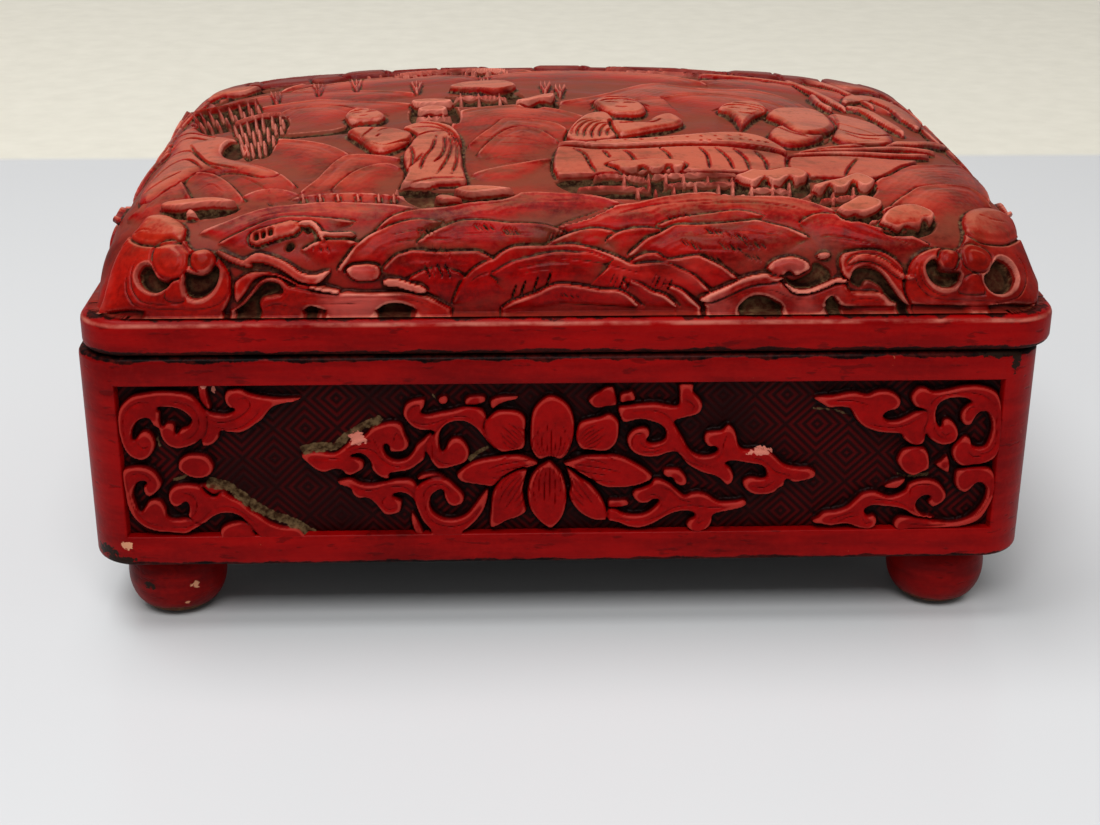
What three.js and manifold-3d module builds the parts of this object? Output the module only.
// A carved cinnabar lacquer box: a rectangular wooden box on four bun feet, with a deep cushion-shaped
// lid that lifts off. The core is made of thin boards. Thick red lacquer covers the outside, with a plain
// border round a carved field on each side and a carved dome on the lid. The inside is black.
// Units are millimetres. +Z is up, -Y is the front, and the origin is on the floor under the middle.

import * as THREE from 'three';
import { mergeVertices } from 'three/addons/utils/BufferGeometryUtils.js';
import Module from 'manifold-3d';

// Outside of the body, with its lacquer
const bodyWidth = 178;
const bodyDepth = 140;
const bodyHeight = 42;
const cornerRadius = 9;
const bodyEdgeRound = 1.2;

// Wooden core and the coats on it
const lacquerThickness = 3;
const blackCoatThickness = 0.8;
const wallThickness = 6;
const floorThickness = 5;
const floorLiningThickness = 0.6;
const fitGap = 0.3;

// The lip: thin strips inside the walls that stand up into the lid and keep it in place
const lipThickness = 2.5;
const lipRise = 4;
const lipEdgeRound = 0.8;

// Plain borders round the four carved fields, and the ground that the carving goes down to
const borderTop = 5.5;
const borderBottom = 6.2;
const borderSide = 7.4;
const groundThickness = 0.9;

// Bun feet, each turned in one piece with the tenon that plugs into the floor board
const footHeight = 13.7;
const footRadius = 9.5;
const footTopRadius = 6.8;
const footSoleRadius = 3.6;
const footInsetX = 14;
const footInsetY = 13;
const tenonRadius = 3.5;
const tenonPlay = 0.3;

// Lid: a plain band below and the carved dome above
const lidOverhang = 0.5;
const bandHeight = 6.8;
const bandEdgeRound = 1.6;
const domeInset = 1;
const domeBaseRadius = 10;
const domeTopRadius = 24;
const shoulderWidth = 15.5;
const shoulderRise = 16.4;
const crownRise = 10.3;
const hillDrop = 0.7;
const domeEdgeHeight = 1;
const lidLiningThickness = 0.6;
const lidPlay = 2;
const hollowInset = 8;
const hollowRise = 11;

// How far the lid sits to the right of its middle place, within its play
const lidRestShift = 1.5;

// How far a cutting solid runs past what it cuts
const overrun = 5;

// Roundness of the dome's shoulder: 2 is a quarter ellipse, more is squarer
const shoulderPowerShare = 2.5;

const arcSegments = 6;
const turningSegments = 32;
const lidRedColour = 0x9c1a12;
const bodyRedColour = 0x8c1713;
const blackColour = 0x17110f;
const woodColour = 0x8a6a45;

const wasm = await Module();
wasm.setup();

// Heights, from the floor up
const bodyBottom = footHeight + fitGap;
const bodyTop = bodyBottom + bodyHeight;
const baseCoatTop = bodyBottom + blackCoatThickness;
const coreBottom = baseCoatTop + fitGap;
const coreTop = bodyTop - blackCoatThickness - fitGap;
const floorTop = coreBottom + floorThickness;
const liningBottom = floorTop + fitGap;
const liningTop = liningBottom + floorLiningThickness;
const lidBottom = bodyTop + fitGap;
const bandTop = lidBottom + bandHeight;
const domeBottom = bandTop + fitGap;

// Half sizes in plan, from the outside in
const bodyHalfX = bodyWidth / 2;
const bodyHalfY = bodyDepth / 2;
const coatHalfX = bodyHalfX - lacquerThickness;
const coatHalfY = bodyHalfY - lacquerThickness;
const coatRadius = cornerRadius - lacquerThickness;
const coreHalfX = coatHalfX - fitGap;
const coreHalfY = coatHalfY - fitGap;
const coreRadius = coatRadius - fitGap;
const innerHalfX = coreHalfX - wallThickness;
const innerHalfY = coreHalfY - wallThickness;
const lipHalfX = innerHalfX - fitGap;
const lipHalfY = innerHalfY - fitGap;
const roomHalfX = lipHalfX - lipThickness;
const roomHalfY = lipHalfY - lipThickness;
const lidHalfX = bodyHalfX + lidOverhang;
const lidHalfY = bodyHalfY + lidOverhang;
const domeHalfX = lidHalfX - domeInset;
const domeHalfY = lidHalfY - domeInset;
const lidCarvingDepth = lacquerThickness - groundThickness;
const hollowHalfX = lipHalfX + lidPlay + lidLiningThickness + fitGap;
const hollowHalfY = lipHalfY + lidPlay + lidLiningThickness + fitGap;

// A closed geometry as a solid that can be cut and joined
function solidOf(geometry) {
  const bare = geometry.index ? geometry.toNonIndexed() : geometry.clone();
  bare.deleteAttribute('normal');
  bare.deleteAttribute('uv');
  const merged = mergeVertices(bare, 1e-3);
  return new wasm.Manifold(new wasm.Mesh({
    numProp: 3,
    vertProperties: merged.attributes.position.array,
    triVerts: new Uint32Array(merged.index.array),
  }));
}

function geometryOf(solid) {
  const mesh = solid.getMesh();
  const geometry = new THREE.BufferGeometry();
  geometry.setAttribute('position', new THREE.BufferAttribute(mesh.vertProperties.slice(), 3));
  geometry.setIndex(new THREE.BufferAttribute(mesh.triVerts.slice(), 1));
  const flat = geometry.toNonIndexed();
  flat.computeVertexNormals();
  return flat;
}

function block(x0, x1, y0, y1, z0, z1) {
  const geometry = new THREE.BoxGeometry(x1 - x0, y1 - y0, z1 - z0);
  geometry.translate((x0 + x1) / 2, (y0 + y1) / 2, (z0 + z1) / 2);
  return solidOf(geometry);
}

// A block whose plan is centred on the origin, given by its half sizes
function centredBlock(halfX, halfY, z0, z1) {
  return block(-halfX, halfX, -halfY, halfY, z0, z1);
}

// Points of a rounded rectangle, anticlockwise. Each straight side is divided into the given spans.
function roundedRectangle(halfX, halfY, radius, spans = 1) {
  const points = [];
  const corners = [[1, -1], [1, 1], [-1, 1], [-1, -1]];
  corners.forEach(([sideX, sideY], corner) => {
    for (let step = 0; step <= arcSegments; step++) {
      const angle = (corner - 1 + step / arcSegments) * Math.PI / 2;
      points.push(new THREE.Vector2(
        sideX * (halfX - radius) + radius * Math.cos(angle),
        sideY * (halfY - radius) + radius * Math.sin(angle),
      ));
    }
    const arcEnd = points.at(-1);
    const [nextX, nextY] = corners[(corner + 1) % 4];
    const angle = corner * Math.PI / 2;
    const nextStart = new THREE.Vector2(
      nextX * (halfX - radius) + radius * Math.cos(angle),
      nextY * (halfY - radius) + radius * Math.sin(angle),
    );
    for (let span = 1; span < spans; span++) {
      points.push(arcEnd.clone().lerp(nextStart, span / spans));
    }
  });
  return points;
}

// An upright prism with a rounded plan. Its top and bottom arrises are rounded where edgeRound isn't zero.
function roundedPrism(halfX, halfY, radius, z0, z1, edgeRound = 0) {
  const outline = roundedRectangle(halfX - edgeRound, halfY - edgeRound, radius - edgeRound);
  const geometry = new THREE.ExtrudeGeometry(new THREE.Shape(outline), {
    depth: z1 - z0 - 2 * edgeRound,
    bevelEnabled: edgeRound > 0,
    bevelSize: edgeRound,
    bevelThickness: edgeRound,
    bevelSegments: 2,
  });
  geometry.translate(0, 0, z0 + edgeRound);
  return solidOf(geometry);
}

const materials = {
  lid_cinnabar: new THREE.MeshStandardMaterial({ color: lidRedColour, roughness: 0.42, metalness: 0 }),
  body_cinnabar: new THREE.MeshStandardMaterial({ color: bodyRedColour, roughness: 0.45, metalness: 0 }),
  black_lacquer: new THREE.MeshStandardMaterial({ color: blackColour, roughness: 0.35, metalness: 0 }),
  core_wood: new THREE.MeshStandardMaterial({ color: woodColour, roughness: 0.8, metalness: 0 }),
};

const box = new THREE.Group();
const lid = new THREE.Group();
const root = new THREE.Group();
root.add(box, lid);

function addPiece(group, name, solid, material) {
  const mesh = new THREE.Mesh(geometryOf(solid), materials[material]);
  mesh.name = name;
  group.add(mesh);
}

// Feet: buns turned with a flat sole, a flat top and a tenon

function footSolid() {
  const tenonTop = floorTop - fitGap;
  const profile = new THREE.Path();
  profile.moveTo(0, 0);
  profile.lineTo(footSoleRadius, 0);
  profile.bezierCurveTo(
    footRadius * 0.82, footHeight * 0.04,
    footRadius, footHeight * 0.3,
    footRadius, footHeight * 0.55,
  );
  profile.bezierCurveTo(
    footRadius, footHeight * 0.8,
    footRadius * 0.9, footHeight * 0.96,
    footTopRadius, footHeight,
  );
  profile.lineTo(tenonRadius, footHeight);
  profile.lineTo(tenonRadius, tenonTop);
  profile.lineTo(0, tenonTop);
  const geometry = new THREE.LatheGeometry(profile.getPoints(6), turningSegments);
  geometry.rotateX(Math.PI / 2);
  return solidOf(geometry);
}

const footX = bodyHalfX - footInsetX;
const footY = bodyHalfY - footInsetY;
const footPlaces = {
  foot_front_left: [-footX, -footY],
  foot_front_right: [footX, -footY],
  foot_back_left: [-footX, footY],
  foot_back_right: [footX, footY],
};
for (const [name, [x, y]] of Object.entries(footPlaces)) {
  addPiece(box, name, footSolid().translate([x, y, 0]), 'body_cinnabar');
}

// Bottom: a floor board between the walls, black lacquer under it and a black lining on top

function tenonHole(x, y) {
  const radius = tenonRadius + tenonPlay;
  const height = floorTop - bodyBottom + 2 * overrun;
  const geometry = new THREE.CylinderGeometry(radius, radius, height, turningSegments);
  geometry.rotateX(Math.PI / 2);
  geometry.translate(x, y, (floorTop + bodyBottom) / 2);
  return solidOf(geometry);
}

let baseCoat = roundedPrism(coreHalfX, coreHalfY, coreRadius, bodyBottom, baseCoatTop);
let floorBoard = centredBlock(innerHalfX - fitGap, innerHalfY - fitGap, coreBottom, floorTop);
for (const [x, y] of Object.values(footPlaces)) {
  baseCoat = baseCoat.subtract(tenonHole(x, y));
  floorBoard = floorBoard.subtract(tenonHole(x, y));
}
addPiece(box, 'base_coat', baseCoat, 'black_lacquer');
addPiece(box, 'floor_board', floorBoard, 'core_wood');
const floorLining = centredBlock(roomHalfX - fitGap, roomHalfY - fitGap, liningBottom, liningTop);
addPiece(box, 'floor_lining', floorLining, 'black_lacquer');

// Walls: the front and back boards run full length and carry the rounded corners

const carcass = roundedPrism(coreHalfX, coreHalfY, coreRadius, coreBottom, coreTop)
  .subtract(centredBlock(innerHalfX, innerHalfY, coreBottom - overrun, coreTop + overrun));
const sideWallEnd = innerHalfY - fitGap;
const wallPlans = {
  front_wall: [-bodyHalfX, bodyHalfX, -bodyHalfY, -innerHalfY],
  back_wall: [-bodyHalfX, bodyHalfX, innerHalfY, bodyHalfY],
  left_wall: [-bodyHalfX, -innerHalfX, -sideWallEnd, sideWallEnd],
  right_wall: [innerHalfX, bodyHalfX, -sideWallEnd, sideWallEnd],
};
for (const [name, plan] of Object.entries(wallPlans)) {
  addPiece(box, name, carcass.intersect(block(...plan, coreBottom, coreTop)), 'core_wood');
}

// Lip strips: they stand on the floor board against the walls, with a rounded top edge

function lipStrip(length) {
  const half = lipThickness / 2;
  const height = bodyTop + lipRise - liningBottom;
  const section = new THREE.Shape();
  section.moveTo(-half, 0);
  section.lineTo(half, 0);
  section.absarc(half - lipEdgeRound, height - lipEdgeRound, lipEdgeRound, 0, Math.PI / 2);
  section.absarc(-half + lipEdgeRound, height - lipEdgeRound, lipEdgeRound, Math.PI / 2, Math.PI);
  const geometry = new THREE.ExtrudeGeometry(section, {
    depth: length,
    curveSegments: 3,
    bevelEnabled: false,
  });
  geometry.translate(0, 0, -length / 2);
  geometry.rotateX(Math.PI / 2);
  geometry.translate(0, 0, liningBottom);
  return geometry;
}

for (const [name, side] of [['left_lip', -1], ['right_lip', 1]]) {
  const strip = lipStrip(2 * (roomHalfY - fitGap));
  strip.translate(side * (lipHalfX - lipThickness / 2), 0, 0);
  addPiece(box, name, solidOf(strip), 'black_lacquer');
}
for (const [name, side] of [['front_lip', -1], ['back_lip', 1]]) {
  const strip = lipStrip(2 * lipHalfX);
  strip.rotateZ(Math.PI / 2);
  strip.translate(0, side * (lipHalfY - lipThickness / 2), 0);
  addPiece(box, name, solidOf(strip), 'black_lacquer');
}

// Outer lacquer: a thick coat round the walls and over their top edge, with a window for each field

const windowBottom = bodyBottom + borderBottom;
const windowTop = bodyTop - borderTop;
const windowHalfX = bodyHalfX - borderSide;
const windowHalfY = bodyHalfY - borderSide;
const bodyLacquer = roundedPrism(bodyHalfX, bodyHalfY, cornerRadius, bodyBottom, bodyTop, bodyEdgeRound)
  .subtract(roundedPrism(coatHalfX, coatHalfY, coatRadius, bodyBottom - overrun, coreTop + fitGap))
  .subtract(centredBlock(innerHalfX, innerHalfY, coreTop, bodyTop + overrun))
  .subtract(centredBlock(windowHalfX, bodyHalfY + overrun, windowBottom, windowTop))
  .subtract(centredBlock(bodyHalfX + overrun, windowHalfY, windowBottom, windowTop));
addPiece(box, 'body_lacquer', bodyLacquer, 'body_cinnabar');

// Carved fields: the ground that the carving is cut down to, one in each window

const fieldHalfX = windowHalfX - fitGap;
const fieldHalfY = windowHalfY - fitGap;
const groundHalfX = coatHalfX + groundThickness;
const groundHalfY = coatHalfY + groundThickness;
const fieldPlans = {
  front_carved_field: [-fieldHalfX, fieldHalfX, -groundHalfY, -coatHalfY],
  back_carved_field: [-fieldHalfX, fieldHalfX, coatHalfY, groundHalfY],
  left_carved_field: [-groundHalfX, -coatHalfX, -fieldHalfY, fieldHalfY],
  right_carved_field: [coatHalfX, groundHalfX, -fieldHalfY, fieldHalfY],
};
for (const [name, plan] of Object.entries(fieldPlans)) {
  addPiece(box, name, block(...plan, windowBottom + fitGap, windowTop - fitGap), 'body_cinnabar');
}

// Dome: a cushion that rises steeply round its edge and swells gently to the crown. It is a stack of level
// outlines whose corners grow rounder with height, drawn in over the shoulder and then shrunk to the middle.
// inset draws the whole surface inwards, for the underside of the lacquer and for the wood below it.
function domeSolid(inset, levelShares, middleShares) {
  const spans = 8;
  const baseHalfX = domeHalfX - inset;
  const baseHalfY = domeHalfY - inset;
  const positions = [];
  function addRing(outline, rise) {
    for (const { x, y } of outline) {
      const crown = crownRise * (1 - (x / baseHalfX) ** 2) * (1 - (y / baseHalfY) ** 2);
      positions.push(x, y, domeBottom + rise + (rise > 0 ? crown : 0));
    }
  }
  let outline;
  for (const share of levelShares) {
    const drawnIn = shoulderWidth * (1 - (1 - share ** shoulderPowerShare) ** (1 / shoulderPowerShare));
    const radius = domeBaseRadius + (domeTopRadius - domeBaseRadius) * (1 - (1 - share) ** 2) - inset;
    outline = roundedRectangle(baseHalfX - drawnIn, baseHalfY - drawnIn, radius, spans);
    addRing(outline, share * (shoulderRise - inset));
  }
  for (const share of middleShares) {
    addRing(outline.map((point) => point.clone().multiplyScalar(share)), shoulderRise - inset);
  }
  const count = outline.length;
  const rings = levelShares.length + middleShares.length;
  const crownPoint = rings * count;
  const basePoint = crownPoint + 1;
  addRing([new THREE.Vector2(0, 0)], shoulderRise - inset);
  positions.push(0, 0, domeBottom);
  const triangles = [];
  for (let i = 0; i < count; i++) {
    const next = (i + 1) % count;
    for (let ring = 0; ring < rings - 1; ring++) {
      const lower = ring * count;
      const upper = lower + count;
      triangles.push(lower + i, lower + next, upper + next);
      triangles.push(lower + i, upper + next, upper + i);
    }
    const last = (rings - 1) * count;
    triangles.push(last + i, last + next, crownPoint);
    triangles.push(basePoint, next, i);
  }
  const geometry = new THREE.BufferGeometry();
  geometry.setAttribute('position', new THREE.Float32BufferAttribute(positions, 3));
  geometry.setIndex(triangles);
  return solidOf(geometry);
}

const outerLevelShares = [0, 0.2, 0.4, 0.55, 0.7, 0.8, 0.88, 0.94, 0.98, 1];
const outerMiddleShares = [0.85, 0.65, 0.42, 0.2];
const innerLevelShares = [0, 0.35, 0.6, 0.8, 0.93, 1];
const innerMiddleShares = [0.8, 0.5, 0.25];
// Carving on the dome: its main forms, cut out of the dome's surface. Forms on a slope are outlined as they
// are seen from that side, in shares of the side's half length and of the shoulder's rise. Forms on the top
// are outlined from above, in shares of the dome's half width and half depth.
const frontHillShares = [
  [[-0.75, 0.88], [-0.67, 1.05], [-0.55, 1.13], [-0.36, 1.15], [-0.42, 0.98], [-0.48, 0.8], [-0.6, 0.76]],
  [[-0.45, 0.62], [-0.42, 0.82], [-0.33, 0.99], [-0.24, 0.98], [-0.27, 0.82], [-0.35, 0.75]],
  [[-0.38, 1], [-0.33, 1.1], [-0.14, 1.2], [0.05, 1.2], [0.08, 1.1], [-0.05, 1.04], [-0.24, 1.04]],
  [[-0.25, 0.84], [-0.2, 0.96], [-0.1, 0.96], [0.02, 0.9], [0.06, 0.78], [-0.06, 0.84], [-0.16, 0.8]],
  [[-0.37, 0.56], [-0.33, 0.68], [-0.2, 0.7], [-0.18, 0.6], [-0.24, 0.4], [-0.33, 0.44]],
  [[-0.24, 0.2], [-0.2, 0.52], [-0.1, 0.77], [0, 0.78], [0.11, 0.6], [0.1, 0.42], [-0.02, 0.5], [-0.15, 0.44]],
  [[-0.14, 0.16], [-0.08, 0.32], [-0.01, 0.4], [0.08, 0.32], [0.14, 0.16]],
  [[0.12, 0.44], [0.15, 0.56], [0.2, 0.56], [0.28, 0.28], [0.25, 0.16], [0.18, 0.3]],
  [[0.03, 1], [0.1, 1.12], [0.27, 1.2], [0.42, 1.18], [0.57, 1.02], [0.44, 1.04], [0.2, 1.04]],
  [[0.12, 0.7], [0.2, 0.94], [0.36, 0.98], [0.48, 0.86], [0.42, 0.72], [0.3, 0.66], [0.18, 0.58]],
  [[0.5, 0.98], [0.56, 1.02], [0.66, 0.9], [0.74, 0.76], [0.68, 0.74], [0.58, 0.84]],
];
const frontScrollShares = [
  [[-0.66, 0.12], [-0.65, 0.42], [-0.59, 0.64], [-0.5, 0.52], [-0.44, 0.36], [-0.3, 0.32], [-0.24, 0.14]],
  [[0.28, 0.1], [0.36, 0.42], [0.46, 0.6], [0.53, 0.48], [0.5, 0.24], [0.4, 0.12]],
  [[0.54, 0.1], [0.56, 0.46], [0.57, 0.68], [0.62, 0.68], [0.66, 0.44], [0.65, 0.12]],
];
const sideHillShares = [
  [[-0.44, 0.6], [-0.38, 0.92], [-0.2, 1.1], [-0.04, 1.08], [-0.1, 0.84], [-0.26, 0.72]],
  [[-0.22, 0.2], [-0.18, 0.5], [-0.06, 0.72], [0.08, 0.7], [0.2, 0.5], [0.22, 0.2]],
  [[0.06, 0.84], [0.14, 1.04], [0.3, 1.1], [0.42, 0.9], [0.32, 0.68], [0.16, 0.68]],
];
const sideScrollShares = [
  [[-0.58, 0.12], [-0.56, 0.42], [-0.5, 0.62], [-0.4, 0.5], [-0.32, 0.32], [-0.26, 0.12]],
  [[0.58, 0.12], [0.56, 0.42], [0.5, 0.62], [0.4, 0.5], [0.32, 0.32], [0.26, 0.12]],
];
const cornerShares = [
  [0.69, 1.05], [0.71, 0.95], [0.76, 0.93], [0.79, 0.84], [0.85, 0.79],
  [0.92, 0.76], [0.95, 0.7], [1.05, 0.66], [1.05, 1.05],
];
const topHillShares = [
  [[-0.84, -0.6], [-0.79, -0.44], [-0.7, -0.46], [-0.6, -0.6], [-0.64, -0.72], [-0.78, -0.74]],
  [[-0.57, -0.74], [-0.51, -0.57], [-0.4, -0.53], [-0.37, -0.62], [-0.38, -0.78]],
  [[-0.26, -0.3], [-0.2, -0.17], [-0.06, -0.17], [0, -0.24], [-0.04, -0.46], [-0.04, -0.7], [-0.19, -0.72]],
  [[-0.72, 0.14], [-0.57, 0.15], [-0.36, -0.03], [-0.4, -0.1], [-0.52, -0.06], [-0.62, -0.04]],
  [[0.02, -0.07], [0.14, 0.06], [0.28, 0.2], [0.48, 0.2], [0.6, 0.02], [0.48, -0.04], [0.28, -0.06]],
  [[-0.7, 0.3], [-0.56, 0.6], [-0.36, 0.66], [-0.22, 0.5], [-0.34, 0.36], [-0.5, 0.26]],
  [[-0.22, 0.24], [-0.12, 0.5], [0.06, 0.62], [0.24, 0.5], [0.3, 0.34], [0.1, 0.24]],
  [[-0.3, 0.68], [-0.2, 0.82], [0.1, 0.84], [0.4, 0.8], [0.52, 0.66], [0.3, 0.64], [0.06, 0.7]],
];
const topFormShares = [
  [[-0.9, 0.1], [-0.86, 0.32], [-0.74, 0.26], [-0.64, -0.04], [-0.63, -0.36], [-0.72, -0.4], [-0.8, -0.2]],
  [[-0.5, -0.12], [-0.41, -0.14], [-0.28, -0.3], [-0.21, -0.46], [-0.21, -0.7], [-0.36, -0.74],
    [-0.36, -0.56], [-0.46, -0.42], [-0.52, -0.3]],
  [[0.01, -0.44], [0.05, -0.28], [0.08, -0.12], [0.2, -0.14], [0.28, -0.28], [0.22, -0.4], [0.1, -0.46]],
  [[-0.02, -0.52], [0.17, -0.47], [0.39, -0.4], [0.48, -0.52], [0.48, -0.62], [0.28, -0.67], [-0.02, -0.7]],
  [[0.37, -0.14], [0.46, -0.08], [0.64, -0.1], [0.79, -0.24], [0.72, -0.34], [0.55, -0.44], [0.42, -0.32]],
  [[0.51, -0.55], [0.76, -0.46], [0.8, -0.5], [0.68, -0.64], [0.51, -0.65]],
  [[0.02, -0.78], [0.1, -0.72], [0.3, -0.71], [0.52, -0.7], [0.68, -0.7], [0.72, -0.78], [0.4, -0.78]],
  [[0.62, 0.48], [0.76, 0.66], [0.86, 0.48], [0.9, 0.1], [0.84, -0.04], [0.78, 0.08], [0.7, 0.3]],
];

// A smooth prism through the points of an outline, which are shares of the given half sizes
function formPrism(outlineShares, acrossSize, alongSize, depth) {
  const points = outlineShares.map(([across, along]) => (
    new THREE.Vector3(across * acrossSize, along * alongSize, 0)));
  const curve = new THREE.CatmullRomCurve3(points, true);
  const shape = new THREE.Shape(curve.getPoints(points.length * 2).slice(1));
  return new THREE.ExtrudeGeometry(shape, { depth, bevelEnabled: false });
}

// Forms seen from above, and forms seen from one side, which is turned from the front by quarter turns
function fromAbove(outlineShares) {
  const geometry = formPrism(outlineShares, domeHalfX, domeHalfY, shoulderRise + crownRise + overrun);
  geometry.translate(0, 0, domeBottom);
  return solidOf(geometry);
}

function fromSide(outlineShares, quarterTurns) {
  const [halfLength, halfReach] = quarterTurns % 2 ? [domeHalfY, domeHalfX] : [domeHalfX, domeHalfY];
  const geometry = formPrism(outlineShares, halfLength, shoulderRise, shoulderWidth + overrun);
  geometry.rotateX(Math.PI / 2);
  geometry.translate(0, shoulderWidth - halfReach, domeBottom);
  geometry.rotateZ(quarterTurns * Math.PI / 2);
  return solidOf(geometry);
}

function cornerPrism(sideX, sideY) {
  return fromAbove(cornerShares.map(([x, y]) => [sideX * x, sideY * y]));
}

const hillPrisms = [
  ...topHillShares.map((shares) => fromAbove(shares)),
  ...[0, 2].flatMap((turns) => frontHillShares.map((shares) => fromSide(shares, turns))),
  ...[1, 3].flatMap((turns) => sideHillShares.map((shares) => fromSide(shares, turns))),
];
const formPrisms = [
  ...topFormShares.map((shares) => fromAbove(shares)),
  ...[0, 2].flatMap((turns) => frontScrollShares.map((shares) => fromSide(shares, turns))),
  ...[1, 3].flatMap((turns) => sideScrollShares.map((shares) => fromSide(shares, turns))),
  ...[-1, 1].flatMap((sideX) => [-1, 1].map((sideY) => cornerPrism(sideX, sideY))),
  centredBlock(lidHalfX, lidHalfY, domeBottom, domeBottom + domeEdgeHeight),
];

const hills = domeSolid(hillDrop, outerLevelShares, outerMiddleShares)
  .intersect(wasm.Manifold.union(hillPrisms));
const forms = domeSolid(0, outerLevelShares, outerMiddleShares)
  .intersect(wasm.Manifold.union(formPrisms));
const carvedDome = domeSolid(lidCarvingDepth, outerLevelShares, outerMiddleShares)
  .add(hills)
  .add(forms)
  .subtract(domeSolid(lacquerThickness, innerLevelShares, innerMiddleShares));

// Hollow of the lid: wide where it takes the lip, narrower above. inset draws it in for the lining.
function lidHollow(inset, bottom) {
  const wide = centredBlock(hollowHalfX - inset, hollowHalfY - inset, bottom, domeBottom - inset);
  const narrow = centredBlock(
    hollowHalfX - hollowInset - inset,
    hollowHalfY - hollowInset - inset,
    bottom,
    domeBottom + hollowRise - inset,
  );
  return wide.add(narrow);
}

const lidBoard = domeSolid(lacquerThickness + fitGap, innerLevelShares, innerMiddleShares)
  .subtract(lidHollow(0, lidBottom - overrun));
const lidLining = lidHollow(fitGap, lidBottom)
  .subtract(lidHollow(fitGap + lidLiningThickness, lidBottom - overrun));

// Band and rails: the red band is rounded over at its edges and backed by four wooden rails

const bandHalfX = lidHalfX - lacquerThickness;
const bandHalfY = lidHalfY - lacquerThickness;
const lidBand = roundedPrism(lidHalfX, lidHalfY, cornerRadius, lidBottom, bandTop, bandEdgeRound)
  .subtract(roundedPrism(bandHalfX, bandHalfY, coatRadius, lidBottom - overrun, bandTop + overrun));
const railRing = roundedPrism(bandHalfX - fitGap, bandHalfY - fitGap, coreRadius, lidBottom, bandTop)
  .subtract(centredBlock(hollowHalfX, hollowHalfY, lidBottom - overrun, bandTop + overrun));
const sideRailEnd = hollowHalfY - fitGap;
const railPlans = {
  lid_front_rail: [-lidHalfX, lidHalfX, -lidHalfY, -hollowHalfY],
  lid_back_rail: [-lidHalfX, lidHalfX, hollowHalfY, lidHalfY],
  lid_left_rail: [-lidHalfX, -hollowHalfX, -sideRailEnd, sideRailEnd],
  lid_right_rail: [hollowHalfX, lidHalfX, -sideRailEnd, sideRailEnd],
};
for (const [name, plan] of Object.entries(railPlans)) {
  addPiece(lid, name, railRing.intersect(block(...plan, lidBottom, bandTop)), 'core_wood');
}
addPiece(lid, 'lid_board', lidBoard, 'core_wood');
addPiece(lid, 'lid_lining', lidLining, 'black_lacquer');
addPiece(lid, 'lid_band', lidBand, 'lid_cinnabar');
addPiece(lid, 'lid_carved_dome', carvedDome, 'lid_cinnabar');
lid.position.x = lidRestShift;

export default root;
